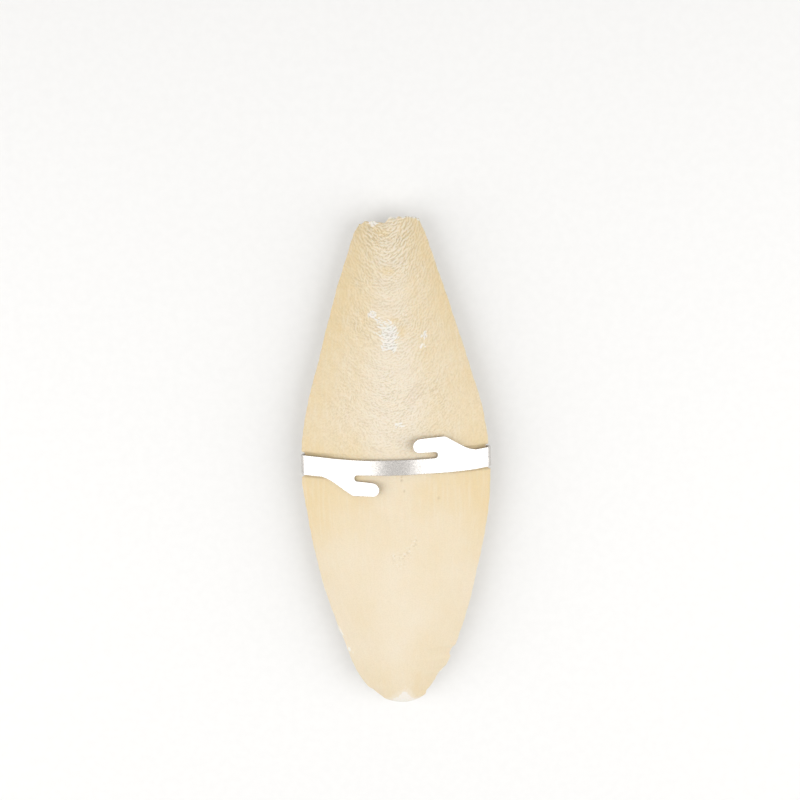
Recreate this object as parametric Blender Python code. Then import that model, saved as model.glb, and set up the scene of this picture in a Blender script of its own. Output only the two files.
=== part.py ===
"""A cuttlebone and the sheet metal clip that hangs it in a bird's cage. Metres, +Z up.

The bone lies on its soft side with the hard, domed side up. -Y is its round front end and +Y its
broken narrow end. The clip is a strap across the back, bent under the rim at both sides.
"""
import math

import bmesh
import bpy
import numpy as np

# Bone, overall
LENGTH = 0.200
RIM_HEIGHT = 0.0125        # of the widest point of the rim above the surface the bone lies on
RIM_DROOP = 0.0025         # how far both ends of the rim bend down
WIDEST_AT = 0.45           # share of the length, from the front end
CROWN = 0.0115             # dome above the rim
CROWN_AT = 0.43
CROWN_LEFT_AT_BREAK = 0.50
CROWN_ROUNDNESS = 2.3      # power of the dome's fall to the rim
BELLY = 0.0158             # swell under the rim, before its flat spot is taken off
BELLY_AT = 0.42
BELLY_LEFT_AT_BREAK = 0.20
BELLY_ROUNDNESS = 2.4
FLAT_BLEND = 0.0004        # height over which the belly eases into its flat spot
RIM_PLATE = 0.0010         # thickness of the thin rim that runs past the chalky body
RIM_PLATE_FROM = 0.93      # share of the half width where the chalky body ends

# Outline: share of the length, half width to the left and to the right
OUTLINE = (
    (0.000, 0.0000, 0.0000),
    (0.027, 0.0126, 0.0121),
    (0.075, 0.0190, 0.0181),
    (0.165, 0.0256, 0.0257),
    (0.290, 0.0326, 0.0325),
    (0.400, 0.0364, 0.0370),
    (0.490, 0.0383, 0.0383),
    (0.600, 0.0361, 0.0361),
    (0.720, 0.0296, 0.0296),
    (0.860, 0.0216, 0.0211),
    (1.000, 0.0121, 0.0120),
)
TIP_X = 0.0006
TIP_DROP = 0.0004          # the tip's point lies this much under the rim's line
RIM_WAVES = ((61, 1.0), (143, 2.4), (287, 0.0))    # radians over the length, shift by side
RIM_WAVE = 0.00010

# Chips broken from the thin rim: side, share of the length, depth, half length
CHIPS = (
    (1, 0.040, 0.0017, 0.0052),
    (1, 0.066, 0.0008, 0.0022),
    (1, 0.109, 0.0010, 0.0024),
    (-1, 0.022, 0.0009, 0.0026),
    (-1, 0.128, 0.0004, 0.0060),
)

# Relief of the bone
MEDIAN_RIB = 0.00035
MEDIAN_RIB_WIDTH = 0.15    # in half widths, as the next two
SIDE_RIB = 0.00025
SIDE_RIB_AT = 0.46
SIDE_RIB_WIDTH = 0.16
RIBS_FROM = 0.25           # shares of the length where ribs and swells begin and are full
RIBS_FULL = 0.60
SWELL = 0.00012            # broad growth swells of the back
SWELL_PITCH = 0.0085
GROWTH_BEND = 1.0          # how deep the growth lines sag to the front, in half widths
GROWTH_POWER = 1.6
FURROW = 0.0013            # hollow along the middle of the soft side
FURROW_WIDTH = 0.34        # in half widths
FURROW_FROM = 0.58
FURROW_FULL = 0.85
LEDGE = 0.00022            # steps across the soft side, behind its flat spot
LEDGE_PITCH = 0.0068
LEDGES_FROM = 0.55
LEDGES_FULL = 0.64
BREAK_FROM = 0.965         # share of the length where the broken edge begins to show
BREAK_STEP = 0.0016        # the left part of the broken end lies this much further forward
BREAK_STEP_LEFT = -0.0028
BREAK_STEP_RIGHT = 0.0004
BREAK_NOTCH = 0.0009
BREAK_NOTCH_X = -0.0022
BREAK_NOTCH_WIDTH = 0.0016
BREAK_RAGGED = ((0.00022, 1900, 0.7), (0.00016, 4300, 0.0))    # size, radians a metre, shift
BREAK_CORNER = 0.0012      # worn off both corners
BREAK_CORNER_FROM = 0.0085
BREAK_CORNER_TO = 0.0125
BREAK_UNDERCUT = 0.0011

# Clip
SHEET = 0.0006
CLIP_Y = 0.0010
CLIP_X = 0.0003
CLIP_GAP = 0.00055         # between the dome and the strap
STRAP_HALF = 0.0032
STRAP_END_HALF = 0.0040
WIDENS_FROM = 0.012
WIDENS_TO = 0.031
STRAP_MIDDLE_HALF = 0.0031
SLOT_END = 0.0154
SLOT_LOW = 0.0028          # edges of the slot at its closed end
SLOT_HIGH = 0.0052
SLOT_MOUTH_HIGH = 0.0056
FINGER_TIP = 0.0069
FINGER_TOP = 0.0112
HOOK_CORNER = 0.0189
SHOULDER = 0.0275          # the hook's back slopes to here, then eases into the strap's end
SHOULDER_HIGH = 0.0058
FOOT_OF_SHOULDER = 0.0294
FOOT_HIGH = 0.0048
FOOT_END = 0.0318
FRONT_HOOK_NEARER = 0.0022  # the front hook's back lies this much closer to the middle
FINGER_LIFT = 0.0024       # how far a finger's tip stands up from the strap's curve
BEND_START = 0.0366
BEND_RADIUS = 0.0024
BEND_END = math.radians(-160)
TAB = 0.0044               # straight stretch under the rim
SHEET_CORNER = 0.0012
HOOK_CORNER_RADIUS = 0.0026
GRIP = 0.0014              # how deep the bends sit in the rim
GRIP_FROM = 0.0045         # half lengths of the grip's floor and of its mouth
GRIP_TO = 0.0053
STRAP_BOW = 0.0009         # the strap's ends lie this much further back than its middle
CLIP_SKEW = 0.0205         # its right end lies further back than its left one by this slope

# Mesh
ROWS = 80
ROW_BUNCHING = 0.15
ROW_CLEAR = 0.0035         # least space, in shares of the length, between a row and a grip's edge
BACK_COLUMNS = 28
BELLY_COLUMNS = 14
CORNER_STEPS = 5
STRAP_STEP = 0.0029
BEND_STEPS = 7


def clear_scene():
    for obj in list(bpy.data.objects):
        bpy.data.objects.remove(obj, do_unlink=True)


def material(name, colour, roughness, metallic=0.0):
    made = bpy.data.materials.new(name)
    made.use_nodes = True
    shader = made.node_tree.nodes["Principled BSDF"]
    shader.inputs["Base Color"].default_value = (*colour, 1.0)
    shader.inputs["Roughness"].default_value = roughness
    shader.inputs["Metallic"].default_value = metallic
    return made


def bone_material():
    return material("bone", (0.80, 0.68, 0.47), 0.75)


def clip_material():
    return material("clip_steel", (0.62, 0.60, 0.57), 0.35, 1.0)


def ramp(low, high, value):
    share = np.clip((value - low) / (high - low), 0.0, 1.0)
    return share * share * (3 - 2 * share)


def smooth_through(places, values, at):
    """A cubic curve through the values, with each slope taken from the neighbours."""
    slopes = np.gradient(values, places)
    left = np.clip(np.searchsorted(places, at) - 1, 0, len(places) - 2)
    span = places[left + 1] - places[left]
    share = (at - places[left]) / span
    back = 1 - share
    return (
        back * back * (1 + 2 * share) * values[left]
        + share * share * (1 + 2 * back) * values[left + 1]
        + share * back * span * (back * slopes[left] - share * slopes[left + 1])
    )


def grip_middle(side):
    """Where along the length the clip's bend on this side crosses the rim."""
    return CLIP_Y + STRAP_BOW + side * CLIP_SKEW * BEND_START


def half_width(share, side):
    """Half width at a share of the length. Roots of the shares keep the front end round."""
    table = np.array(OUTLINE)
    column = table[:, 1] if side < 0 else table[:, 2]
    width = smooth_through(np.sqrt(table[:, 0]), column, np.sqrt(share))
    uneven = sum(np.sin(rate * share + shift * side) for rate, shift in RIM_WAVES)
    width = width + RIM_WAVE * uneven * ramp(0.0, 0.1, share)
    for chip_side, at, depth, half_length in CHIPS:
        if chip_side != side:
            continue
        away = np.abs(share - at) * LENGTH / half_length
        width = width - depth * (1 - ramp(0.55, 1.0, away))
    from_clip = np.abs((share - 0.5) * LENGTH - grip_middle(side))
    return width - GRIP * (1 - ramp(GRIP_FROM, GRIP_TO, from_clip))


def rim_height(share):
    return RIM_HEIGHT - RIM_DROOP * ((share - WIDEST_AT) / (1 - WIDEST_AT)) ** 2


def crown(share):
    front = 1 - np.clip(1 - share / CROWN_AT, 0, 1) ** 2
    rear = np.clip((share - CROWN_AT) / (1 - CROWN_AT), 0, 1)
    return CROWN * front**0.6 * (1 - (1 - CROWN_LEFT_AT_BREAK) * rear**1.8)


def belly(share):
    front = 1 - np.clip(1 - share / BELLY_AT, 0, 1) ** 2
    rear = np.clip((share - BELLY_AT) / (1 - BELLY_AT), 0, 1)
    return BELLY * front**0.75 * (1 - (1 - BELLY_LEFT_AT_BREAK) * rear**1.6)


def growth(x, share, width):
    """Place along the length of the growth line through a point: the lines sag to the front."""
    across = np.abs(x) / np.maximum(width, 0.001)
    return (share - 0.5) * LENGTH - GROWTH_BEND * width * across**GROWTH_POWER


def dome(across, share):
    return rim_height(share) + crown(share) * (1 - np.abs(across) ** CROWN_ROUNDNESS)


def back_height(across, share, width):
    median = MEDIAN_RIB * np.exp(-((across / MEDIAN_RIB_WIDTH) ** 2))
    sides = SIDE_RIB * np.exp(-(((np.abs(across) - SIDE_RIB_AT) / SIDE_RIB_WIDTH) ** 2))
    line = growth(across * width, share, width)
    swell = SWELL * np.sin(2 * math.pi * line / SWELL_PITCH)
    inside = 1 - np.abs(across) ** 6
    relief = ramp(RIBS_FROM, RIBS_FULL, share) * (median + sides + swell)
    return dome(across, share) + inside * relief


def belly_height(across, share, width):
    plate = dome(np.maximum(np.abs(across), RIM_PLATE_FROM), share) - RIM_PLATE
    body = np.minimum(np.abs(across) / RIM_PLATE_FROM, 1)
    swell = belly(share) * (1 - body**BELLY_ROUNDNESS)
    furrow = FURROW * np.exp(-((across / FURROW_WIDTH) ** 2)) * ramp(FURROW_FROM, FURROW_FULL, share)
    line = growth(across * width, share, width) / LEDGE_PITCH
    ledge = LEDGE * (line - np.floor(line)) * (1 - body**4) * ramp(LEDGES_FROM, LEDGES_FULL, share)
    height = plate - swell + furrow + ledge
    eased = (np.clip(height, -FLAT_BLEND, FLAT_BLEND) + FLAT_BLEND) ** 2 / (4 * FLAT_BLEND)
    return np.where(height < FLAT_BLEND, eased, height)


def break_line(x, lower):
    """How far the broken end runs past the even length, across its width."""
    step = BREAK_STEP * (1 - ramp(BREAK_STEP_LEFT, BREAK_STEP_RIGHT, x))
    notch = BREAK_NOTCH * np.exp(-(((x - BREAK_NOTCH_X) / BREAK_NOTCH_WIDTH) ** 2))
    ragged = sum(size * np.sin(rate * x + shift) for size, rate, shift in BREAK_RAGGED)
    worn = BREAK_CORNER * ramp(BREAK_CORNER_FROM, BREAK_CORNER_TO, np.abs(x))
    return ragged - step - notch - worn - BREAK_UNDERCUT * lower


def row_shares():
    """Rows close together at the round front end, with rows at the edges of the clip's grip."""
    even = np.arange(1, ROWS + 1) / ROWS
    shares = even**2 * (1 + ROW_BUNCHING) / (even + ROW_BUNCHING)
    grip = [(grip_middle(side) + end * edge) / LENGTH + 0.5
            for side in (-1, 1) for end in (-1, 1) for edge in (GRIP_FROM, GRIP_TO)]
    clear = [s for s in shares if min(abs(s - g) for g in grip) > ROW_CLEAR]
    return np.array(sorted(clear + grip))


def columns(count):
    """Places across the width from -1 to 1, closer together near the rim."""
    even = np.linspace(-1, 1, count + 1)
    return even * (1.25 - 0.25 * even**2)


def bone_row(share):
    """One closed ring of points: over the back from left to right, then under the belly."""
    ring = []
    for places, lower in ((columns(BACK_COLUMNS), 0), (columns(BELLY_COLUMNS)[-2:0:-1], 1)):
        left = half_width(share, -1)
        right = half_width(share, 1)
        width = np.where(places < 0, left, right)
        middle = TIP_X * (1 - share) ** 2
        height = belly_height if lower else back_height
        x = middle + places * width
        z = height(places, share, width)
        inner = lower * (1 - np.abs(places) ** 4)
        y = (share - 0.5) * LENGTH + break_line(x, inner) * ramp(BREAK_FROM, 1.0, share)
        ring += list(zip(x, y, z))
    return ring


def cap_break(mesh, ring):
    """Closes the broken end with triangles between the back's and the belly's last points."""
    over = ring[:BACK_COLUMNS + 1]
    under = [over[0]] + ring[BACK_COLUMNS + 1:][::-1] + [over[-1]]
    fold = BACK_COLUMNS // BELLY_COLUMNS
    for i in range(BELLY_COLUMNS):
        first, middle, last = over[i * fold:i * fold + fold + 1]
        for corners in ((first, middle, under[i]), (middle, last, under[i + 1]),
                        (middle, under[i + 1], under[i])):
            if len(set(corners)) == 3:
                mesh.faces.new(corners)


def make_bone():
    mesh = bmesh.new()
    tip = mesh.verts.new((TIP_X, -LENGTH / 2, rim_height(0.0) - TIP_DROP))
    rings = [[mesh.verts.new(point) for point in bone_row(share)] for share in row_shares()]
    count = len(rings[0])
    for i in range(count):
        mesh.faces.new((tip, rings[0][(i + 1) % count], rings[0][i]))
    for here, there in zip(rings, rings[1:]):
        for i in range(count):
            after = (i + 1) % count
            mesh.faces.new((here[i], here[after], there[after], there[i]))
    cap_break(mesh, rings[-1])
    bmesh.ops.triangulate(mesh, faces=mesh.faces[:])
    bmesh.ops.recalc_face_normals(mesh, faces=mesh.faces[:])
    return finish_mesh(mesh, "cuttlebone", bone_material(), 50)


def finish_mesh(mesh, name, finish, sharp_degrees):
    data = bpy.data.meshes.new(name)
    mesh.to_mesh(data)
    mesh.free()
    data.materials.append(finish)
    data.shade_smooth()
    data.set_sharp_from_angle(angle=math.radians(sharp_degrees))
    made = bpy.data.objects.new(name, data)
    bpy.context.scene.collection.objects.link(made)
    return made


def arc(centre, radius, start, end, steps=CORNER_STEPS):
    """Points of an arc, with its angles in degrees."""
    angles = [math.radians(start + (end - start) * i / steps) for i in range(steps + 1)]
    return [(centre[0] + radius * math.cos(a), centre[1] + radius * math.sin(a)) for a in angles]


def strap_end():
    """Length of the flat pattern from its middle to its end."""
    turn = abs(BEND_END - dome_slope(BEND_START))
    return BEND_START + BEND_RADIUS * turn + TAB


def clip_edge(nearer):
    """The flat pattern's rear edge from its left end to its right, with the hook that opens left.

    The hook's back lies closer to the middle by the given distance.
    """
    end = strap_end()
    corner = SHEET_CORNER
    hook_radius = HOOK_CORNER_RADIUS
    slot_radius = (SLOT_HIGH - SLOT_LOW) / 2
    tip_radius = (FINGER_TOP - SLOT_MOUTH_HIGH) / 2
    slot_middle = (SLOT_HIGH + SLOT_LOW) / 2
    finger_middle = (FINGER_TOP + SLOT_MOUTH_HIGH) / 2
    slope = math.degrees(math.atan2(FINGER_TOP - SHOULDER_HIGH, SHOULDER - HOOK_CORNER))
    edge = arc((-end + corner, STRAP_END_HALF - corner), corner, 180, 90)
    edge += [(-WIDENS_TO, STRAP_END_HALF), (-WIDENS_FROM, STRAP_HALF), (0.0, STRAP_MIDDLE_HALF)]
    edge += arc((SLOT_END, slot_middle), slot_radius, -90, 90)
    edge += arc((FINGER_TIP + tip_radius, finger_middle), tip_radius, 270, 90, 2 * CORNER_STEPS)
    edge += arc((HOOK_CORNER - nearer, FINGER_TOP - hook_radius), hook_radius, 90, 90 - slope)
    edge += [(SHOULDER - nearer, SHOULDER_HIGH), (FOOT_OF_SHOULDER - nearer, FOOT_HIGH)]
    edge += [(FOOT_END - nearer, STRAP_END_HALF)]
    edge += arc((end - corner, STRAP_END_HALF - corner), corner, 90, 0)
    return edge


def dome_slope(x):
    """Angle of the strap's curve at a distance from the middle, downwards to the side."""
    step = 0.00001
    fall = strap_height(x + step) - strap_height(x - step)
    return math.atan2(fall, 2 * step)


def strap_height(x):
    share = CLIP_Y / LENGTH + 0.5
    width = half_width(np.array(share), 1) + GRIP
    return float(dome(min(abs(x) / width, 1.0), share)) + MEDIAN_RIB + CLIP_GAP


def strap_place(along, depth):
    """Across and up of a point of the sheet, by its length from the middle and its depth."""
    side = math.copysign(1.0, along)
    length = abs(along)
    if length <= BEND_START:
        heading = dome_slope(length)
        x = length
        z = strap_height(length)
    else:
        start = dome_slope(BEND_START)
        turned = min((length - BEND_START) / BEND_RADIUS, abs(BEND_END - start))
        straight = max(length - BEND_START - BEND_RADIUS * abs(BEND_END - start), 0.0)
        heading = start - turned
        x = BEND_START + BEND_RADIUS * (math.sin(start) - math.sin(heading))
        z = strap_height(BEND_START) - BEND_RADIUS * (math.cos(start) - math.cos(heading))
        x += straight * math.cos(heading)
        z += straight * math.sin(heading)
    return side * (x - depth * math.sin(heading)), z + depth * math.cos(heading)


def bend_pattern(x, y, depth):
    """Moves a point of the flat sheet to its place on the bent clip."""
    across, height = strap_place(x, depth)
    outside_slot = abs(y) > (SLOT_LOW + SLOT_HIGH) / 2
    lift = 0.0
    if outside_slot and x * y > 0 and abs(x) < SLOT_END:
        reach = (SLOT_END - abs(x)) / (SLOT_END - FINGER_TIP)
        lift = FINGER_LIFT * reach**1.5
    bow = STRAP_BOW * min(abs(x) / BEND_START, 1.0) ** 2
    return CLIP_X + across, CLIP_Y + y + bow + CLIP_SKEW * across, height + lift


def cut_across(mesh, place):
    geometry = mesh.verts[:] + mesh.edges[:] + mesh.faces[:]
    bmesh.ops.bisect_plane(mesh, geom=geometry, dist=1e-6, plane_co=(place, 0, 0), plane_no=(1, 0, 0))


def make_clip():
    mesh = bmesh.new()
    outline = clip_edge(0.0) + [(-x, -y) for x, y in clip_edge(FRONT_HOOK_NEARER)]
    mesh.faces.new([mesh.verts.new((x, y, 0.0)) for x, y in outline])
    bend_length = strap_end() - TAB - BEND_START
    cuts = list(np.arange(STRAP_STEP, BEND_START, STRAP_STEP))
    cuts += [BEND_START + bend_length * i / BEND_STEPS for i in range(BEND_STEPS + 1)]
    for place in [0.0] + cuts + [-cut for cut in cuts]:
        cut_across(mesh, float(place))
    bmesh.ops.triangulate(mesh, faces=mesh.faces[:])
    sheet = bmesh.ops.extrude_face_region(mesh, geom=mesh.faces[:], use_keep_orig=True)
    upper = [item for item in sheet["geom"] if isinstance(item, bmesh.types.BMVert)]
    bmesh.ops.translate(mesh, verts=upper, vec=(0.0, 0.0, SHEET))
    bmesh.ops.recalc_face_normals(mesh, faces=mesh.faces[:])
    for vertex in mesh.verts:
        vertex.co = bend_pattern(*vertex.co)
    return finish_mesh(mesh, "clip", clip_material(), 35)


clear_scene()
make_bone()
make_clip()
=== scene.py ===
import math

import bmesh
import bpy
import numpy as np
from mathutils import Matrix, Vector


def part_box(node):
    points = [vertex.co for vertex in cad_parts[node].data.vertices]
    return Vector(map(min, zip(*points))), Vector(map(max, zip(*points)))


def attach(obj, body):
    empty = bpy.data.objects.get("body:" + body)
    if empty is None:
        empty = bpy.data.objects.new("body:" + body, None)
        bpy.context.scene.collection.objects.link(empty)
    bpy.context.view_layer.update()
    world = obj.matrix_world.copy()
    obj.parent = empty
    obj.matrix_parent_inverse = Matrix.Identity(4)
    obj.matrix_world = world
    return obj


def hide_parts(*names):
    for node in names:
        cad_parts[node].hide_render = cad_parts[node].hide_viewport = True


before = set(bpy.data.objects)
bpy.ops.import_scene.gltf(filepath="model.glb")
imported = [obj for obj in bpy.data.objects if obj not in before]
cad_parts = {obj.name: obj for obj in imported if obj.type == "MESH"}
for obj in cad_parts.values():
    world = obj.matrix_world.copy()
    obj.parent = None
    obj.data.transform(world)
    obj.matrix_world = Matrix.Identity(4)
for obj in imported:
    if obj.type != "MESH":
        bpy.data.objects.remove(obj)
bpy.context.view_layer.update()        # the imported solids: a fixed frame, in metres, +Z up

mm = 0.001               # the dictionaries below are in millimetres
print("frame loaded:", ", ".join(sorted(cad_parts)))


def added(name, data):
    made = bpy.data.objects.new(name, data)
    bpy.context.scene.collection.objects.link(made)
    return made


# Camera, nearly straight above the bone and leaning a little to its broken end
camera = {
    "target": (2.52, 26.26, 12.0),
    "distance": 750,
    "lean": 8.5,          # degrees
    "roll": -1.436,
    "lens": 83.87,
}


def makeCamera():
    lean = math.radians(camera["lean"])
    roll = math.radians(camera["roll"])
    back = Vector((0, math.sin(lean), math.cos(lean)))
    level = Vector((1, 0, 0))
    rise = back.cross(level)
    right = level * math.cos(roll) + rise * math.sin(roll)
    up = rise * math.cos(roll) - level * math.sin(roll)
    place = Vector(camera["target"]) * mm + back * camera["distance"] * mm
    made = added("camera", bpy.data.cameras.new("camera"))
    made.matrix_world = Matrix((right, up, back)).transposed().to_4x4()
    made.location = place
    made.data.lens = camera["lens"]
    bpy.context.scene.camera = made


makeCamera()
print("camera ready")


# Small tools for curves and noise

def ramp(low, high, value):
    share = np.clip((value - low) / (high - low), 0.0, 1.0)
    return share * share * (3 - 2 * share)


def hump(value, middle, reach):
    return np.exp(-(((value - middle) / reach) ** 2))


def curveThrough(places, values, at):
    slopes = np.gradient(values, places)      # each slope comes from the neighbours
    left = np.clip(np.searchsorted(places, at) - 1, 0, len(places) - 2)
    span = places[left + 1] - places[left]
    share = (at - places[left]) / span
    back = 1 - share
    return (
        back * back * (1 + 2 * share) * values[left]
        + share * share * (1 + 2 * back) * values[left + 1]
        + share * back * span * (back * slopes[left] - share * slopes[left + 1])
    )


def blended(field, row, column, down, aside):
    upper = field[row, column] * (1 - aside) + field[row, column + 1] * aside
    lower = field[row + 1, column] * (1 - aside) + field[row + 1, column + 1] * aside
    return upper * (1 - down) + lower * down


def softNoise(x, y, size, seed):
    # Smooth noise from 0 to 1 whose lumps are about one size across; each use has its own seed
    cells = 96
    lattice = np.pad(np.random.default_rng(seed).random((cells, cells)), (0, 1), "wrap").T
    u = np.asarray(x, float) / size + 37.3
    v = np.asarray(y, float) / size + 51.7
    i = np.floor(u).astype(int)
    j = np.floor(v).astype(int)
    return blended(lattice, j % cells, i % cells, ramp(0, 1, v - j), ramp(0, 1, u - i))


def roughNoise(x, y, size, seed, octaves=3):
    total = sum(softNoise(x, y, size / 2**k, seed + k) / 2**k for k in range(octaves))
    return total / sum(1 / 2**k for k in range(octaves))


# The bone's form: millimetres, and shares of the length from the round front end
bone = {
    "length": -2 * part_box("cuttlebone")[0].y / mm,
    "rimHeight": 12.5,
    "rimDroop": 2.5,
    "widestAt": 0.45,
    "crown": 11.5,
    "crownAt": 0.43,
    "crownLeftAtBreak": 0.50,
    "crownRoundness": 2.3,
    "belly": 15.8,
    "bellyAt": 0.42,
    "bellyLeftAtBreak": 0.20,
    "bellyRoundness": 2.4,
    "flatBlend": 0.4,
    "rimPlate": 1.0,
    "rimPlateFrom": 0.93,
    "tipX": 0.6,
    "tipDrop": 0.4,
    "outline": (           # share of the length, half width to the left and to the right
        (0.000, 0.0, 0.0), (0.027, 12.6, 12.1), (0.075, 19.0, 18.1), (0.165, 25.6, 25.7),
        (0.290, 32.6, 32.5), (0.400, 36.4, 37.0), (0.490, 38.3, 38.3), (0.600, 36.1, 36.1),
        (0.720, 29.6, 29.6), (0.860, 21.6, 21.1), (1.000, 12.1, 12.0),
    ),
    "rimWaves": ((61, 1.0), (143, 2.4), (287, 0.0)),
    "rimWave": 0.05,
    "rimRagged": 0.16,      # small bites along the rim, inwards only
    "chips": (              # side, share of the length, depth, half length
        (1, 0.040, 1.7, 5.2), (1, 0.066, 0.8, 2.2), (1, 0.109, 1.0, 2.4),
        (-1, 0.022, 0.9, 2.6), (-1, 0.128, 0.4, 6.0),
    ),
    "medianRib": (0.35, 0, 0.15),       # height, middle and reach in half widths, as the next two
    "sideRib": (0.25, 0.46, 0.16),
    "furrow": (1.3, 0, 0.34),
    "ribsShow": (0.25, 0.60),           # shares where they begin and are full, as the next three
    "furrowShows": (0.58, 0.85),
    "ledgesShow": (0.55, 0.64),
    "striaeShow": (0.39, 0.54),
    "swell": 0.12,
    "swellPitch": 8.5,
    "growthBend": 1.0,      # how deep the growth lines sag to the front, in half widths
    "growthPower": 1.6,
    "ledge": 0.22,
    "ledgePitch": 6.8,
    "striaPitch": 1.25,     # fine lines across the soft side
    "striaHeight": 0.07,
    "bellyUneven": 0.10,
    "breakFrom": 0.965,
    "breakStep": 1.6,
    "breakStepX": (-2.8, 0.4),
    "breakNotch": (0.9, -2.2, 1.6),     # depth, x, reach
    "breakRagged": ((0.22, 1.9, 0.7), (0.05, 4.3, 0.0)),   # size, radians a millimetre, shift
    "breakCrumble": 0.26,
    "breakCorner": 1.2,
    "breakCornerX": (8.5, 12.5),
    "breakUndercut": 1.1,
    "shield": 0.75,         # hard upper layer, seen on the broken end
    "shieldStep": 0.30,     # the soft layers lie this much deeper in
    "layerPitch": 0.85,
    "layerStep": 0.22,
    "crumbSize": 1.5,
    "crumbStep": 0.75,
    "grip": 1.4,            # how deep the clip's bends sit in the rim
    "gripHalf": (4.5, 5.3),
    "gripY": {-1: 1.15, 1: 2.65},       # on the left and on the right
}
endY = bone["length"] / 2   # the broken end's, and the tip's with a minus


def halfWidth(share, side):
    table = np.array(bone["outline"])
    column = table[:, 1] if side < 0 else table[:, 2]
    width = curveThrough(np.sqrt(table[:, 0]), column, np.sqrt(share))   # roots keep the front round
    uneven = sum(np.sin(rate * share + shift * side) for rate, shift in bone["rimWaves"])
    width = width + bone["rimWave"] * uneven * ramp(0.0, 0.1, share)
    y = (share - 0.5) * bone["length"]
    for chipSide, at, depth, halfLength in bone["chips"]:
        if chipSide == side:
            away = np.abs(share - at) * bone["length"] / halfLength
            bitten = 0.75 + 0.5 * softNoise(y, 0, 0.9, 3)
            width = width - np.minimum(depth * bitten, depth) * (1 - ramp(0.55, 1.0, away))
    fromClip = np.abs(y - bone["gripY"][side])
    width = width - bone["grip"] * (1 - ramp(*bone["gripHalf"], fromClip))
    ragged = 0.6 * softNoise(y, side, 2.6, 5) + 0.4 * softNoise(y, side, 0.9, 6)
    return width - bone["rimRagged"] * ragged * ramp(0.0, 3.0, width)


def rimHeight(share):
    bent = ((share - bone["widestAt"]) / (1 - bone["widestAt"])) ** 2
    return bone["rimHeight"] - bone["rimDroop"] * bent


def risen(share, height, peakAt, leftAtBreak, frontPower, rearPower):
    front = 1 - np.clip(1 - share / peakAt, 0, 1) ** 2
    rear = np.clip((share - peakAt) / (1 - peakAt), 0, 1)
    return height * front**frontPower * (1 - (1 - leftAtBreak) * rear**rearPower)


def crown(share):
    return risen(share, bone["crown"], bone["crownAt"], bone["crownLeftAtBreak"], 0.6, 1.8)


def belly(share):
    return risen(share, bone["belly"], bone["bellyAt"], bone["bellyLeftAtBreak"], 0.75, 1.6)


def growthLine(x, y, width, kind=bone):
    # Place along the length of the growth line through a point, which sags to the front
    across = np.abs(x) / np.maximum(width, 1.0)
    return y - kind["growthBend"] * width * across ** kind["growthPower"]


def dome(across, share):
    return rimHeight(share) + crown(share) * (1 - np.abs(across) ** bone["crownRoundness"])


def swelling(name, value):
    height, middle, reach = bone[name]
    return height * hump(value, middle, reach)


def backHeight(across, share, width):
    ribs = swelling("medianRib", across) + swelling("sideRib", np.abs(across))
    line = growthLine(across * width, (share - 0.5) * bone["length"], width)
    swell = bone["swell"] * np.sin(2 * math.pi * line / bone["swellPitch"])
    relief = ramp(*bone["ribsShow"], share) * (ribs + swell)
    return dome(across, share) + (1 - np.abs(across) ** 6) * relief


def bellyHeight(across, share, width, plate):
    body = np.minimum(np.abs(across) / bone["rimPlateFrom"], 1)
    under = dome(np.maximum(np.abs(across), bone["rimPlateFrom"]), share) - plate
    sag = belly(share) * (1 - body ** bone["bellyRoundness"])
    furrow = swelling("furrow", across) * ramp(*bone["furrowShows"], share)
    line = growthLine(across * width, (share - 0.5) * bone["length"], width) / bone["ledgePitch"]
    ledge = bone["ledge"] * (line - np.floor(line)) * (1 - body**4)
    ledge = ledge * ramp(*bone["ledgesShow"], share)
    height = under - sag + furrow + ledge
    blend = bone["flatBlend"]
    eased = (np.clip(height, -blend, blend) + blend) ** 2 / (4 * blend)
    return np.where(height < blend, eased, height)


def breakLine(x, lower):
    step = bone["breakStep"] * (1 - ramp(*bone["breakStepX"], x))
    ragged = sum(size * np.sin(rate * x + shift) for size, rate, shift in bone["breakRagged"])
    crumble = bone["breakCrumble"] * roughNoise(x, 0, 2.4, 8)
    worn = bone["breakCorner"] * ramp(*bone["breakCornerX"], np.abs(x))
    return ragged - step - swelling("breakNotch", x) - worn - crumble - bone["breakUndercut"] * lower


# Growth ridges of the back: short, wavy, joined and forked lines, like those of a fingertip
ridges = {
    "growthBend": 1.2,      # they sag more steeply than the broad swells
    "growthPower": 1.7,
    "centreX": -1.5,
    "cell": 0.2,
    "from": -14.0,          # y where the field begins; it runs to the broken end
    "pitch": (1.02, 1.18),  # at the clip and at the broken end, as the next three
    "reach": (0.25, 0.36),  # how far a ridge keeps its way, in pitches
    "wander": (2.0, 1.2),   # radians by which its way strays from the growth lines
    "height": (0.022, 0.075),
    "strength": (           # y, how strongly they show there
        (0, 1.0), (10, 0.95), (20, 0.78), (32, 0.78), (45, 0.60), (58, 0.85), (69, 0.60), (80, 1.05),
        (88, 1.30), (100, 1.40),
    ),
    "patchLeast": 0.55,     # they show more and less in patches
    "patchMore": 0.9,
    "patchSize": 6.0,
    "fadeFrom": 22.0,       # y where the ridges begin to fade out towards the front
    "fadeTo": -9.0,
    "seed": 21,
}


def ridgeValue(name, y):
    atClip, atBreak = ridges[name]
    return atClip + (atBreak - atClip) * np.clip(y / endY, 0, 1)


def shifted(field, rows, columns):
    return np.roll(field, (-rows, -columns), axis=(0, 1))


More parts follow.
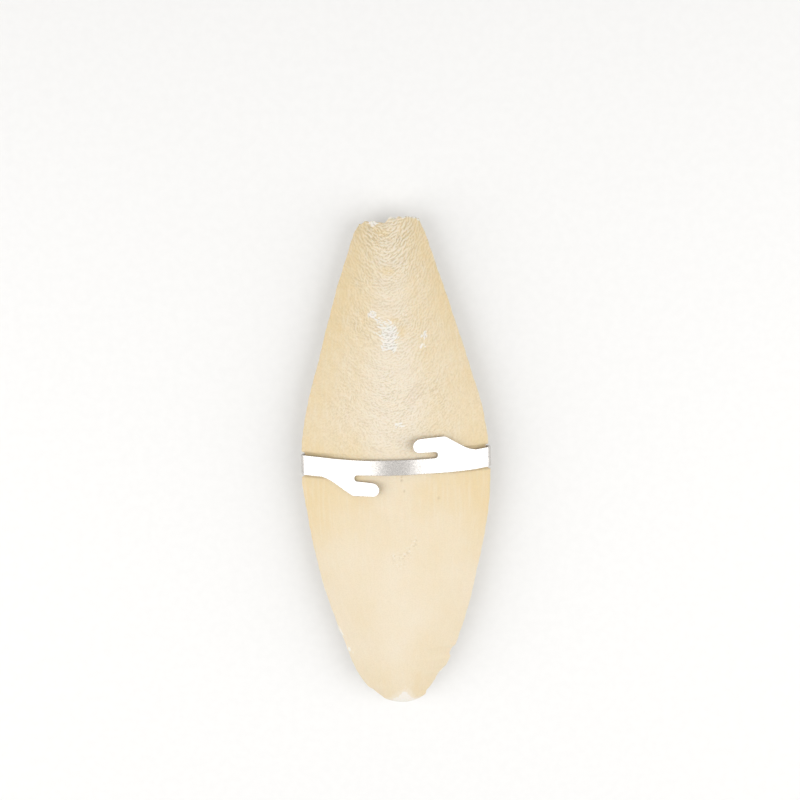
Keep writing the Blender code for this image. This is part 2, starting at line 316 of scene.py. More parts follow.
def ridgeField():
    cell = ridges["cell"]
    x = np.arange(-41, 41, cell)
    y = np.arange(ridges["from"], endY + 3, cell)
    gridX, gridY = np.meshgrid(x, y)
    share = np.clip(gridY / bone["length"] + 0.5, 0, 1)
    table = np.array(bone["outline"])
    width = np.interp(share, table[:, 0], table[:, 2])
    rise, run = np.gradient(growthLine(gridX - ridges["centreX"], gridY, width, ridges), cell)
    pitch = ridgeValue("pitch", gridY) * (0.85 + 0.3 * softNoise(gridX, gridY, 5, 12))
    wander = ridgeValue("wander", gridY) * (roughNoise(gridX, gridY, 4.0, 13) - 0.5)
    way = np.arctan2(rise, run) + wander
    turnX = (np.cos(way) / pitch * 2 * math.pi * cell).astype(np.float32)
    turnY = (np.sin(way) / pitch * 2 * math.pi * cell).astype(np.float32)
    spread = (cell * cell / (2 * (ridgeValue("reach", gridY) * pitch) ** 2)).astype(np.float32)
    field = np.random.default_rng(ridges["seed"]).standard_normal(gridX.shape).astype(np.float32)
    reach = int(2.2 * ridges["reach"][1] * ridges["pitch"][1] / cell) + 1
    total = field * 1.0
    for i in range(0, reach + 1):
        for j in range(-reach if i else 1, reach + 1):
            weight = np.exp(-spread * (i * i + j * j)) * np.cos(turnX * j + turnY * i)
            total += weight * (shifted(field, i, j) + shifted(field, -i, -j))
    return x, y, np.tanh(0.9 * total / total.std()) * ramp(ridges["from"], ridges["fadeTo"], gridY)


def sampleField(grid, x, y):
    placesX, placesY, field = grid
    u = np.clip((x - placesX[0]) / ridges["cell"], 0, len(placesX) - 1.001)
    v = np.clip((y - placesY[0]) / ridges["cell"], 0, len(placesY) - 1.001)
    i = u.astype(int)
    j = v.astype(int)
    return blended(field, j, i, v - j, u - i)


# Marks of wear and growth on the back, in millimetres from the bone's own centre
marks = {
    "chalkPatches": (       # worn through to the white layer: x, y, half width, half length, turn, strength
        (-7.4, 61.7, 2.0, 1.6, -25, 0.68), (-4.9, 59.9, 2.2, 1.1, -35, 0.66),
        (-2.4, 57.2, 3.2, 2.2, -20, 0.85), (-5.0, 55.4, 2.2, 3.0, 0, 0.45),
        (-1.0, 53.8, 3.0, 3.4, 0, 1.20), (-1.2, 50.0, 2.9, 2.9, -10, 1.20),
        (12.7, 53.6, 1.6, 2.0, 15, 0.70), (11.9, 49.0, 1.4, 1.2, 0, 0.52),
        (1.1, 17.6, 2.6, 2.6, 0, 0.44), (-6.1, 98.0, 2.4, 1.6, 20, 0.95),
        (-21.2, -76.5, 1.6, 4.2, 25, 0.70), (-24.6, -69.5, 1.2, 4.0, 20, 0.60),
        (21.6, -78.6, 1.0, 2.2, -25, 0.6), (17.0, -87.0, 1.2, 2.6, -35, 0.6),
    ),
    "patchRagged": 0.9,
    "tipFlake": (1.5, -93.2, 1.1),      # apex of the white chip at the tip, and how fast it widens
    "flakeRagged": 2.4,
    "flakeStrength": 0.64,
    "yellowSpots": (        # x, y, half width, half length
        (-0.9, 78.8, 3.4, 2.0), (4.0, 54.8, 1.8, 3.0), (-2.2, 93.6, 2.4, 1.4), (0.8, 59.4, 3.0, 1.2),
    ),
    "pits": (               # x, y, size
        (2.3, -4.4, 0.45), (2.4, -3.0, 0.35), (3.3, -8.8, 0.4), (17.0, -12.2, 0.4), (-13.9, -5.2, 0.4),
    ),
    "pitDepth": 0.16,
    "roughRun": (           # blots of rough skin, scraped askew across the smooth front: x, y, size
        (7.0, -29.6, 1.5), (6.6, -31.6, 1.3), (4.4, -33.6, 1.6), (2.6, -35.6, 2.3), (0.6, -38.2, 2.3),
        (-1.4, -35.4, 1.3),
    ),
    "scratches": (          # from x, y to x, y
        (4.8, 26.6, 10.8, 33.9), (5.9, 26.0, 12.0, 33.2), (3.8, 27.3, 9.7, 34.6), (7.2, 25.8, 12.8, 32.3),
        (6.2, 36.6, 9.6, 40.6), (-9.4, 9.2, -4.6, 7.0),
    ),
    "scratchDepth": 0.05,
    "scratchWidth": 0.28,
    "chalkDepth": 0.06,
    "flute": 0.05,          # depth of the long shallow flutes where no ridges are
    "uneven": ((0.10, 9, 16), (0.05, 2.2, 17)),     # height, size, seed
    "lip": 0.62,            # pale edge of the hard layer along the break
    "toneRows": (           # y, and the tone of the middle, the flanks and the margins there
        (-100, 0.72, 0.48, 0.42), (-80, 0.94, 0.68, 0.64), (-60, 1.02, 0.74, 0.74), (-40, 0.90, 0.66, 0.50),
        (-23, 0.55, 0.44, 0.12), (-12, 0.50, 0.24, -0.16), (0, 0.85, 0.17, -0.26), (18, 1.36, 0.36, 0.06),
        (27, 1.40, 0.38, 0.10), (41, 1.25, 0.26, 0.0), (60, 0.93, 0.20, -0.20), (69, 0.83, 0.15, -0.30),
        (88, 0.68, 0.08, -0.32), (100, 0.66, 0.05, -0.32),
    ),
    "flanks": (0.08, 0.5),  # where they begin and are full, in half widths, as the next
    "margins": (0.55, 1.0),
    "blotch": 0.55,         # change of tone in broad blots
    "blotchSize": 13,
}


def flakeDepth(x, y):
    apexX, apexY, widens = marks["tipFlake"]
    ragged = marks["flakeRagged"] * (softNoise(x, y, 1.1, 33) - 0.5)
    return (apexY - y) * widens - np.abs(x - apexX) + ragged


def patchMask(x, y):
    total = np.zeros_like(x)
    ragged = roughNoise(x, y, 2.2, 31) - 0.5
    for centreX, centreY, halfX, halfY, turn, strength in marks["chalkPatches"]:
        c = math.cos(math.radians(turn))
        s = math.sin(math.radians(turn))
        u = ((x - centreX) * c + (y - centreY) * s) / halfX
        v = ((y - centreY) * c - (x - centreX) * s) / halfY
        total = np.maximum(total, strength * (1 - 0.5 * (u * u + v * v)) * (u * u + v * v < 2))
    ragged = ragged + 0.7 * (softNoise(x, y, 0.9, 32) - 0.5)
    total = total + ragged * marks["patchRagged"] * ramp(0.0, 0.3, total)
    flake = marks["flakeStrength"] * ramp(-1.5, 2.4, flakeDepth(x, y))
    return np.clip(np.maximum(total, flake), 0, 1.3)


def blotMask(x, y, blots):
    total = np.zeros_like(x)
    for spotX, spotY, size in blots:
        total = np.maximum(total, hump(np.hypot(x - spotX, y - spotY), 0, size))
    return total


def scratchMask(x, y):
    total = np.zeros_like(x)
    for startX, startY, endX, endY in marks["scratches"]:
        long = math.hypot(endX - startX, endY - startY)
        dirX = (endX - startX) / long
        dirY = (endY - startY) / long
        along = (x - startX) * dirX + (y - startY) * dirY
        aside = (y - startY) * dirX - (x - startX) * dirY
        ends = ramp(-1.0, 1.5, along) * (1 - ramp(long - 1.5, long + 1.0, along))
        total = np.maximum(total, hump(aside, 0, marks["scratchWidth"]) * ends)
    return total


def spotMask(x, y):
    return sum(hump((x - spotX) / halfX, 0, 1) * hump((y - spotY) / halfY, 0, 1)
               for spotX, spotY, halfX, halfY in marks["yellowSpots"])


# Mesh of the bone: rings of points round its section, one behind the other
boneMesh = {
    "rowSpacing": (         # y, distance between rows
        (-100, 0.10), (-97, 0.35), (-90, 0.75), (-52, 0.80), (-44, 0.52), (-26, 0.50), (-20, 0.70),
        (-10, 0.55), (-2, 0.37), (96, 0.36), (100.3, 0.25),
    ),
    "backColumns": 160,
    "bellyColumns": 40,
    "rimSteps": 5,
    "endLevels": 24,
    "firstRow": 0.06,       # mm behind the tip
}


def rowPlaces():
    table = np.array(boneMesh["rowSpacing"])
    fine = np.linspace(boneMesh["firstRow"] - endY, endY, 20001)
    count = np.concatenate([[0], np.cumsum(np.diff(fine) / np.interp(fine[1:], table[:, 0], table[:, 1]))])
    rows = int(count[-1]) + 1
    return np.interp(np.linspace(0, count[-1], rows), count, fine)


def columnPlaces(count, middle=1.1):
    # Places from -1 to 1, spaced by middle times the even spacing there
    even = np.linspace(-1, 1, count + 1)[None, :]
    return even * (middle + (1 - middle) * even**2)


def backTone(x, y, across):
    # 0 in the deep margins, 0.5 on the cream flanks and 1 along the pale middle
    rows = np.array(marks["toneRows"])
    middle, flank, margin = (curveThrough(rows[:, 0], rows[:, k], y) for k in (1, 2, 3))
    tone = middle + (flank - middle) * ramp(*marks["flanks"], np.abs(across))
    tone = tone + (margin - flank) * ramp(*marks["margins"], np.abs(across))
    tone = tone + marks["blotch"] * (roughNoise(x, y, marks["blotchSize"], 19) - 0.5)
    return tone - 0.9 * spotMask(x, y) + 0.7 * ramp(-2.0, 0.6, flakeDepth(x, y))


def backRelief(x, y, across, grid):
    # Height of the fine relief of the back, and the masks that its finish uses
    ridge = sampleField(grid, x, y)
    patchy = ridges["patchLeast"] + ridges["patchMore"] * roughNoise(x, y, ridges["patchSize"], 14)
    present = ramp(ridges["fadeTo"], ridges["fadeFrom"], y + 6 * (softNoise(x, y, 7, 15) - 0.5))
    margin = 1 - 0.50 * ramp(0.5, 0.85, np.abs(across))
    strength = np.array(ridges["strength"])
    ridged = present * patchy * margin * np.interp(y, strength[:, 0], strength[:, 1])
    chalk = patchMask(x, y)
    chalk = chalk + 0.28 * ridge * ramp(0.0, 0.3, chalk) * ramp(0, 10, y)
    toEdge = endY + breakLine(x, 0) - y
    lip = (1 - ramp(0.3, 1.1, toEdge)) * (0.5 + 0.5 * ramp(-2.5, 0.0, x))
    lip = lip * (0.7 + 0.6 * softNoise(x, y, 1.5, 34))
    chalk = np.maximum(chalk, marks["lip"] * lip)
    pit = blotMask(x, y, marks["pits"])
    scratch = scratchMask(x, y)
    uneven = sum(tall * (roughNoise(x, y, size, seed) - 0.5) for tall, size, seed in marks["uneven"])
    flutes = marks["flute"] * (softNoise(x, y / 14, 2.4, 18) - 0.5) * (1 - present)
    height = ridge * ridgeValue("height", y) * ridged + uneven + flutes
    height = height - marks["chalkDepth"] * ramp(0.35, 0.6, chalk)
    height = height - marks["pitDepth"] * pit - marks["scratchDepth"] * scratch
    masks = {
        "ridge": 0.5 + 0.5 * ridge, "ridged": ridged, "chalk": chalk, "pit": pit + 0.5 * scratch,
        "rough": blotMask(x, y, marks["roughRun"]), "tone": backTone(x, y, across),
    }
    return height, masks


def gridNormals(points):
    alongRows = np.gradient(points, axis=0)
    alongColumns = np.gradient(points, axis=1)
    normal = np.cross(alongColumns, alongRows)
    return normal / np.maximum(np.linalg.norm(normal, axis=2, keepdims=True), 1e-9)


maskNames = ("ridge", "ridged", "chalk", "pit", "rough", "tone", "across", "growth", "along", "under")


def alongLines(x, growth):
    # Way along each growth line from the bone's middle
    steps = np.hypot(np.diff(x, axis=1), np.diff(growth, axis=1))
    total = np.pad(np.cumsum(steps, axis=1), ((0, 0), (1, 0)))
    return total - total[:, total.shape[1] // 2, None]


def boneSurfaces(grid):
    # Points and masks of the back, the two rounded edges and the belly, in rows by columns
    y = rowPlaces()[:, None]
    share = y / bone["length"] + 0.5
    sides = {-1: halfWidth(share, -1), 1: halfWidth(share, 1)}
    middle = bone["tipX"] * (1 - share) ** 2
    plate = bone["rimPlate"] * np.sqrt(ramp(-0.1, 2.4, sides[1]))
    settle = 0.5 * (bone["rimPlate"] - plate)         # both faces meet as the tip closes
    slope = {k: np.arctan(crown(share) * bone["crownRoundness"] / np.maximum(w, 0.5)) * ramp(0, 6, w)
             for k, w in sides.items()}
    radius = {k: np.minimum(0.5 * plate * np.cos(slope[k]), 0.35 * w) for k, w in sides.items()}
    topX = {k: w - radius[k] * (1 - np.sin(slope[k])) for k, w in sides.items()}
    lowX = {k: topX[k] - 2 * radius[k] * np.sin(slope[k]) for k in sides}
    toEnd = ramp(bone["breakFrom"], 1.0, share)

    def spread(places, reach):
        width = np.where(places < 0, sides[-1], sides[1])
        offX = places * np.where(places < 0, reach[-1], reach[1])
        return width, offX, offX / width, middle + offX

    places = columnPlaces(boneMesh["backColumns"], 0.74 + 0.36 * ramp(0.85, 0.97, share))
    width, offX, across, x = spread(places, topX)
    back = np.stack([x, y + breakLine(x, 0) * toEnd, backHeight(across, share, width) - settle], axis=2)
    height, masks = backRelief(back[..., 0], back[..., 1], across, grid)
    edge = 1 - ramp(0.0, 1.6, width - np.abs(offX))
    ends = ramp(0.0, 4.0, y + endY) * (1 - edge)
    back = back + gridNormals(back) * (height * ends)[..., None]
    masks["across"] = np.abs(across)
    masks["growth"] = growthLine(offX - ridges["centreX"], y, width, ridges)
    masks["along"] = alongLines(offX, masks["growth"])
    masks["under"] = np.zeros_like(across)

    places = columnPlaces(boneMesh["bellyColumns"])[:, ::-1]
    width, offX, across, x = spread(places, lowX)
    lower = 1 - np.abs(places) ** 4
    growth = growthLine(offX, y, width)
    striae = 0.5 + 0.5 * np.sin(2 * math.pi * (growth / bone["striaPitch"] + 1.6 * softNoise(x, y, 5, 24)))
    striated = ramp(*bone["striaeShow"], share + 0.03 * softNoise(x, y, 9, 25))
    body = 1 - ramp(0.80, 0.93, np.abs(across))
    z = bellyHeight(across, share, width, plate) - settle
    uneven = bone["bellyUneven"] * roughNoise(x, y, 7, 26)
    z = z + body * (bone["striaHeight"] * striae * striated + uneven)
    under = np.stack([x, y + breakLine(x, lower) * toEnd, z], axis=2)
    zero = np.zeros_like(across)
    underMasks = dict.fromkeys(maskNames, zero)
    underMasks.update(ridge=striae, ridged=striated * body, across=np.abs(across), growth=growth,
                      along=offX, under=zero + 1)

    rims = {}
    steps = boneMesh["rimSteps"]
    for side, start, end in ((1, -1, 0), (-1, 0, -1)):
        turned = np.linspace(90, -90, steps + 1)[None, 1:-1] * math.pi / 180
        s = slope[side]
        r = radius[side]
        top = back[:, start, :]
        out = r * np.cos(turned)
        rise = r * (np.sin(turned) - 1)
        blend = np.linspace(0, 1, steps + 1)[None, 1:-1]
        rimX = top[:, 0:1] + side * (out * np.cos(s) + rise * np.sin(s))
        rimZ = top[:, 2:3] - out * np.sin(s) + rise * np.cos(s)
        lowZ = top[:, 2:3] - 2 * r * np.cos(s)
        rimZ = rimZ + (under[:, end, 2:3] - lowZ) * blend**2
        rimY = top[:, 1:2] * (1 - blend) + under[:, end, 1:2] * blend
        points = np.stack([rimX, rimY, rimZ], axis=2)
        flat = np.zeros_like(rimX)
        growth = flat + masks["growth"][:, start:start + 1 or None]
        ringMasks = dict.fromkeys(maskNames, flat)
        ringMasks.update(across=flat + 1, growth=growth, under=flat + blend)
        rims[side] = (points, ringMasks)
    rims[-1] = (rims[-1][0][:, ::-1], {k: v[:, ::-1] for k, v in rims[-1][1].items()})
    return (back, masks), rims[1], (under, underMasks), rims[-1]


def endFace(mesh, ring):
    # Closes the broken end with levels of points from the back down to the belly, and tells their depths
    backCount = boneMesh["backColumns"]
    bellyCount = boneMesh["bellyColumns"]
    steps = boneMesh["rimSteps"]
    levels = boneMesh["endLevels"]
    over = ring[:backCount + 1]
    low = ring[backCount + steps:backCount + steps + bellyCount + 1][::-1]
    rightArc = ring[backCount + 1:backCount + steps]
    leftArc = ring[backCount + steps + bellyCount + 1:]
    overFold = 2
    lowFold = backCount // bellyCount // overFold
    columns = backCount // overFold
    lowPoints = np.array([v.co for v in low])
    grid = []
    depths = []
    for c in range(columns + 1):
        top = over[c * overFold]
        x = top.co.x
        floorY = np.interp(x, lowPoints[:, 0], lowPoints[:, 1])
        floorZ = np.interp(x, lowPoints[:, 0], lowPoints[:, 2])
        thick = max(top.co.z - floorZ, 0.2)
        line = []
        for k in range(1, levels):
            t = k / levels
            depth = thick * t
            y = top.co.y + (floorY - top.co.y) * t
            crumb = roughNoise(x, depth, bone["crumbSize"], 51) - 0.5
            layer = 0.5 + 0.5 * math.sin(2 * math.pi * (depth + 0.35 * crumb) / bone["layerPitch"])
            hollow = bone["shieldStep"] * ramp(bone["shield"] * 0.7, bone["shield"] * 1.5, depth)
            inside = ramp(0.0, 0.25, t) * (1 - ramp(0.8, 1.0, t))
            edge = ramp(0.0, 1.2, columns / 2 - abs(c - columns / 2))
            broken = bone["layerStep"] * layer + bone["crumbStep"] * (crumb + 0.35)
            y = y - edge * (hollow + inside * broken)
            line.append((x, y, top.co.z + (floorZ - top.co.z) * t))
        grid.append([mesh.verts.new(p) for p in line])
        depths += [thick * k / levels for k in range(1, levels)]
    for c in range(columns):
        near = grid[c]
        far = grid[c + 1]
        mesh.faces.new(over[c * overFold:(c + 1) * overFold + 1][::-1] + [near[0], far[0]])
        for k in range(levels - 2):
            mesh.faces.new((near[k], near[k + 1], far[k + 1], far[k]))
    for c in range(0, columns, lowFold):
        uppers = [grid[c + n][-1] for n in range(lowFold + 1)]
        mesh.faces.new(uppers[::-1] + [low[c // lowFold], low[c // lowFold + 1]])
    mesh.faces.new([over[0]] + leftArc[::-1] + [low[0]] + grid[0][::-1])
    mesh.faces.new([over[-1]] + grid[-1] + [low[-1]] + rightArc[::-1])
    return depths


def store(data, name, values):
    attribute = data.attributes.new(name, "FLOAT", "POINT")
    attribute.data.foreach_set("value", np.asarray(values, np.float32))


def makeBone():
    grid = ridgeField()
    print("growth ridges grown over", grid[2].size, "samples")
    parts = boneSurfaces(grid)
    points = np.concatenate([part[0] for part in parts], axis=1)
    masks = {}
    for name in maskNames:
        pieces = [part[1][name] + np.zeros(part[0].shape[:2]) for part in parts]
        masks[name] = np.concatenate(pieces, axis=1).ravel()
    rows, count = points.shape[:2]
    mesh = bmesh.new()
    verts = [mesh.verts.new(p) for p in points.reshape(-1, 3)]
    for r in range(rows - 1):
        here = r * count
        for i in range(count):
            after = (i + 1) % count
            mesh.faces.new((verts[here + i], verts[here + after],
                            verts[here + count + after], verts[here + count + i]))
    tip = mesh.verts.new((bone["tipX"], -endY, rimHeight(0.0) - bone["tipDrop"]))
    for i in range(count):
        mesh.faces.new((tip, verts[(i + 1) % count], verts[i]))
    depths = endFace(mesh, verts[(rows - 1) * count:])
    bmesh.ops.triangulate(mesh, faces=[f for f in mesh.faces if len(f.verts) > 4])
    bmesh.ops.recalc_face_normals(mesh, faces=mesh.faces[:])
    for vertex in mesh.verts:
        vertex.co *= mm
    data = bpy.data.meshes.new("cuttleboneFine")
    mesh.to_mesh(data)
    mesh.free()
    data.shade_smooth()
    for name in maskNames:
        store(data, name, np.concatenate([masks[name], masks[name][:1], np.zeros(len(depths))]))
    store(data, "broken", np.concatenate([np.full(rows * count + 1, -1.0), depths]))
    made = added("cuttleboneShell", data)
    data.materials.append(boneFinish())
    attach(made, "root")
    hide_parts("cuttlebone")
    triangles = sum(len(p.vertices) - 2 for p in data.polygons)
    print("bone:", rows, "rows,", triangles, "triangles")


# Shader helpers

def newMaterial(name):
    made = bpy.data.materials.new(name)
    made.use_nodes = True
    return made, made.node_tree, made.node_tree.nodes["Principled BSDF"]


def feed(tree, socket, value):
    # Links an output socket, or sets a plain number, colour or vector
    if isinstance(value, bpy.types.NodeSocket):
        tree.links.new(value, socket)
    elif isinstance(value, (tuple, list)) and len(value) == 3 and socket.type == "RGBA":
        socket.default_value = (*value, 1.0)
    else:
        socket.default_value = value


def maths(tree, operation, first, second=0.0, clamp=False):
    node = tree.nodes.new("ShaderNodeMath")
    node.operation = operation
    node.use_clamp = clamp
    feed(tree, node.inputs[0], first)
    feed(tree, node.inputs[1], second)
    return node.outputs[0]


def times(tree, first, second, clamp=False):
    return maths(tree, "MULTIPLY", first, second, clamp)


def plus(tree, first, second):
    return maths(tree, "ADD", first, second)


def stretch(tree, value, low, high, outLow=0.0, outHigh=1.0, smooth=True):
    node = tree.nodes.new("ShaderNodeMapRange")
    node.interpolation_type = "SMOOTHSTEP" if smooth else "LINEAR"
    for name, number in (("Value", value), ("From Min", low), ("From Max", high),
                         ("To Min", outLow), ("To Max", outHigh)):
        feed(tree, node.inputs[name], number)
    return node.outputs["Result"]


def blendColours(tree, share, first, second):
    node = tree.nodes.new("ShaderNodeMix")
    node.data_type = "RGBA"
    feed(tree, node.inputs["Factor"], share)
    feed(tree, node.inputs[6], first)
    feed(tree, node.inputs[7], second)
    return node.outputs[2]


def masked(tree, name):
    node = tree.nodes.new("ShaderNodeAttribute")
    node.attribute_name = name
    return node.outputs["Fac"]


def objectPlace(tree, scale=(1, 1, 1)):
    place = tree.nodes.new("ShaderNodeTexCoord").outputs["Object"]
    node = tree.nodes.new("ShaderNodeMapping")
    feed(tree, node.inputs["Vector"], place)
    node.inputs["Scale"].default_value = scale
    return node.outputs["Vector"]


def lumps(tree, vector, scale, detail=3.0, roughness=0.55):
    node = tree.nodes.new("ShaderNodeTexNoise")
    feed(tree, node.inputs["Vector"], vector)
    node.inputs["Scale"].default_value = scale
    node.inputs["Detail"].default_value = detail
    node.inputs["Roughness"].default_value = roughness
    return node.outputs["Fac"]


def bumped(tree, height, strength, distance, before=None):
    node = tree.nodes.new("ShaderNodeBump")
    feed(tree, node.inputs["Height"], height)
    feed(tree, node.inputs["Strength"], strength)
    node.inputs["Distance"].default_value = distance
    if before is not None:
        tree.links.new(before, node.inputs["Normal"])
    return node.outputs["Normal"]


def finished(tree, shader, colour, roughness, normal):
    for name, value in (("Base Color", colour), ("Roughness", roughness), ("Normal", normal)):
        feed(tree, shader.inputs[name], value)


def grainGroup():
    # Fine grain that every finish here uses: a mask of specks and a height for a bump
    found = bpy.data.node_groups.get("fineGrain")
    if found:
        return found
    group = bpy.data.node_groups.new("fineGrain", "ShaderNodeTree")
    group.interface.new_socket("Vector", in_out="INPUT", socket_type="NodeSocketVector")
    for name, number in (("Scale", 2000.0), ("Low", 0.4), ("High", 0.6)):
        socket = group.interface.new_socket(name, in_out="INPUT", socket_type="NodeSocketFloat")
        socket.default_value = number
    group.interface.new_socket("Specks", in_out="OUTPUT", socket_type="NodeSocketFloat")
    group.interface.new_socket("Height", in_out="OUTPUT", socket_type="NodeSocketFloat")
    given = group.nodes.new("NodeGroupInput")
    result = group.nodes.new("NodeGroupOutput")
    noise = group.nodes.new("ShaderNodeTexNoise")
    noise.inputs["Detail"].default_value = 4.0
    group.links.new(given.outputs["Vector"], noise.inputs["Vector"])
    group.links.new(given.outputs["Scale"], noise.inputs["Scale"])
    specks = stretch(group, noise.outputs["Fac"], given.outputs["Low"], given.outputs["High"])
    group.links.new(specks, result.inputs["Specks"])
    group.links.new(noise.outputs["Fac"], result.inputs["Height"])
    return group


def grain(tree, vector, scale, low, high):
    node = tree.nodes.new("ShaderNodeGroup")
    node.node_tree = grainGroup()
    feed(tree, node.inputs["Vector"], vector)
    node.inputs["Scale"].default_value = scale
    node.inputs["Low"].default_value = low
    node.inputs["High"].default_value = high
    return node.outputs["Specks"], node.outputs["Height"]


# Finish of the bone: linear colours, noise scales for a metre, depths of the bumps in metres
boneLook = {
    "pale": (0.80, 0.71, 0.565),
    "cream": (0.775, 0.66, 0.47),
    "deep": (0.76, 0.61, 0.365),
    # painted shade in the grooves between the ridges, and the colour of the dark specks and crumbs
    "grooveShadeAndSpecks": (0.50, 0.41, 0.255),
    # the worn white layer, and also the painted light on the ridge tops
    "chalk": (0.82, 0.79, 0.73),
    # painted shade in the grooves of the worn chalk
    "chalkGrooveShade": (0.60, 0.56, 0.48),
    "pit": (0.42, 0.30, 0.17),
    "belly": (0.85, 0.82, 0.76),
    "bellyLine": (0.74, 0.69, 0.60),
    "rimUnder": (0.74, 0.62, 0.42),
    "layerDark": (0.68, 0.61, 0.50),
    "inside": {             # shine of the skin, and how far light strays inside it
        "Specular IOR Level": 0.35, "Subsurface Weight": 0.15, "Subsurface Radius": (1.0, 0.60, 0.35),
        "Subsurface Scale": 0.0010,
    },
    "bumps": {              # strength and depth, from the first under the others to the last
        "thread": (0.8, 0.00005), "crumb": (0.8, 0.00012), "pore": (0.5, 0.00010),
        "speck": (0.55, 0.00006), "streak": (0.25, 0.00005),
    },
    "streakShare": 0.32,    # how far streaks, the painted shade in the grooves, the painted light on the ridge tops and specks change the colour
    "grooveShadeShare": 0.46,
    "ridgeTopLightShare": 0.34,
    "speckShare": 0.10,
    "blotchScale": 90,
    "streakScale": 900,
    "speckScale": 1900,
    "poreScale": 850,
    "crumbScale": 1050,
    "skinRoughness": 0.50,
    "chalkRoughness": 0.88,
}


def swing(tree, value, size):
    # A noise value about 0.5, as a change about 0
    return times(tree, maths(tree, "SUBTRACT", value, 0.5), size)


def tinted(tree, colour, share, name):
    return blendColours(tree, share, colour, boneLook[name])


def backColour(tree, plain, thread, specks, speckHeight, blotch, streaks):
    # Colour of the hard back, with painted shade in the grooves and painted light on the ridge tops, and
    # where it is worn down to chalk
    ridged = masked(tree, "ridged")
    ridge = plus(tree, times(tree, masked(tree, "ridge"), 0.62), times(tree, thread, 0.38))
    tone = plus(tree, masked(tree, "tone"), swing(tree, blotch, 0.3))
    toCream = stretch(tree, tone, -0.1, 0.5, smooth=False)
    colour = blendColours(tree, toCream, boneLook["deep"], boneLook["cream"])
    colour = tinted(tree, colour, stretch(tree, tone, 0.45, 1.15, smooth=False), "pale")
    streaked = times(tree, stretch(tree, streaks, 0.45, 0.72), boneLook["streakShare"])
    colour = tinted(tree, colour, streaked, "pale")
    # Painted shade in the grooves between the ridges and painted light on their tops, both following the
    # ridge height
    grooveShade = times(tree, stretch(tree, ridge, 0.52, 0.26), ridged)
    colour = tinted(tree, colour, times(tree, grooveShade, boneLook["grooveShadeShare"], True), "grooveShadeAndSpecks")
    ridgeTopLight = times(tree, stretch(tree, ridge, 0.50, 0.74), ridged)
    colour = tinted(tree, colour, times(tree, ridgeTopLight, boneLook["ridgeTopLightShare"], True), "chalk")
    colour = tinted(tree, colour, times(tree, specks, boneLook["speckShare"]), "grooveShadeAndSpecks")

    crumbs = lumps(tree, plain, boneLook["crumbScale"], 2)      # little pits and crumbs of the scraped run
    rough = masked(tree, "rough")
    dark = times(tree, stretch(tree, crumbs, 0.46, 0.34), rough)
    colour = tinted(tree, colour, times(tree, dark, 0.45), "grooveShadeAndSpecks")
    light = times(tree, stretch(tree, crumbs, 0.54, 0.66), rough)
    colour = tinted(tree, colour, times(tree, light, 0.75), "chalk")

    worn = plus(tree, masked(tree, "chalk"), swing(tree, speckHeight, 0.8))
    chalk = stretch(tree, worn, 0.36, 0.66)
    # Painted shade in the grooves where the back is worn down to chalk
    grooveShadeInChalk = times(tree, stretch(tree, ridge, 0.52, 0.28), stretch(tree, ridged, 0.0, 0.3))
    bare = blendColours(tree, grooveShadeInChalk, boneLook["chalk"], boneLook["chalkGrooveShade"])
    colour = blendColours(tree, chalk, colour, bare)
    colour = tinted(tree, colour, times(tree, masked(tree, "pit"), 0.55), "pit")
    return colour, chalk, times(tree, crumbs, rough)


def lineNoise(tree, acrossScale, alongScale, detail, roughness):
    # Noise drawn out along the growth lines
    node = tree.nodes.new("ShaderNodeCombineXYZ")
    feed(tree, node.inputs[0], times(tree, masked(tree, "growth"), acrossScale))
    feed(tree, node.inputs[1], times(tree, masked(tree, "along"), alongScale))
    return lumps(tree, node.outputs[0], 1.0, detail, roughness)


def bellyColour(tree):
    across = masked(tree, "across")
    striae = stretch(tree, lineNoise(tree, 2.2, 0.352, 4, 0.65), 0.42, 0.68, 0.0, 0.75)
    colour = blendColours(tree, striae, boneLook["belly"], boneLook["bellyLine"])
    return tinted(tree, colour, stretch(tree, across, 0.88, 0.96), "rimUnder")


def breakColour(tree, depth, blotch):
    # Pale and darker layers under the hard skin, seen on the broken end
    wave = maths(tree, "SINE", times(tree, plus(tree, depth, blotch), 7.4))
    share = stretch(tree, wave, 0.2, 1.0, 0.0, 0.8)
    colour = blendColours(tree, share, boneLook["belly"], boneLook["layerDark"])
    return tinted(tree, colour, stretch(tree, depth, 0.9, 0.5), "deep")


def boneFinish():
    made, tree, shader = newMaterial("boneFinish")
    plain = objectPlace(tree)
    # The finest ridges are too fine for the mesh
    thread = stretch(tree, lineNoise(tree, 2.0, 1.1, 2, 0.6), 0.34, 0.66, smooth=False)
    blotch = lumps(tree, plain, boneLook["blotchScale"])
    streaks = lumps(tree, objectPlace(tree, (1, 0.07, 1)), boneLook["streakScale"])
    specks, speckHeight = grain(tree, plain, boneLook["speckScale"], 0.42, 0.62)
    colour, chalk, relief = backColour(tree, plain, thread, specks, speckHeight, blotch, streaks)
    under = masked(tree, "under")
    colour = blendColours(tree, stretch(tree, under, 0.3, 0.9), colour, bellyColour(tree))
    depth = masked(tree, "broken")
    onBreak = stretch(tree, depth, -0.4, 0.1)
    colour = blendColours(tree, onBreak, colour, breakColour(tree, depth, blotch))

    chalky = maths(tree, "MAXIMUM", maths(tree, "MAXIMUM", chalk, under), onBreak)
    rough = stretch(tree, chalky, 0.0, 1.0, boneLook["skinRoughness"], boneLook["chalkRoughness"])
    rough = plus(tree, rough, swing(tree, blotch, 0.2))
    for name, value in boneLook["inside"].items():
        shader.inputs[name].default_value = value
    heights = {
        "thread": times(tree, thread, masked(tree, "ridged")), "crumb": relief,
        "pore": lumps(tree, plain, boneLook["poreScale"]), "speck": speckHeight, "streak": streaks,
    }
    normal = None
    for name, (strength, height) in boneLook["bumps"].items():
        normal = bumped(tree, heights[name], strength, height, normal)
    finished(tree, shader, colour, rough, normal)
    return made


makeBone()

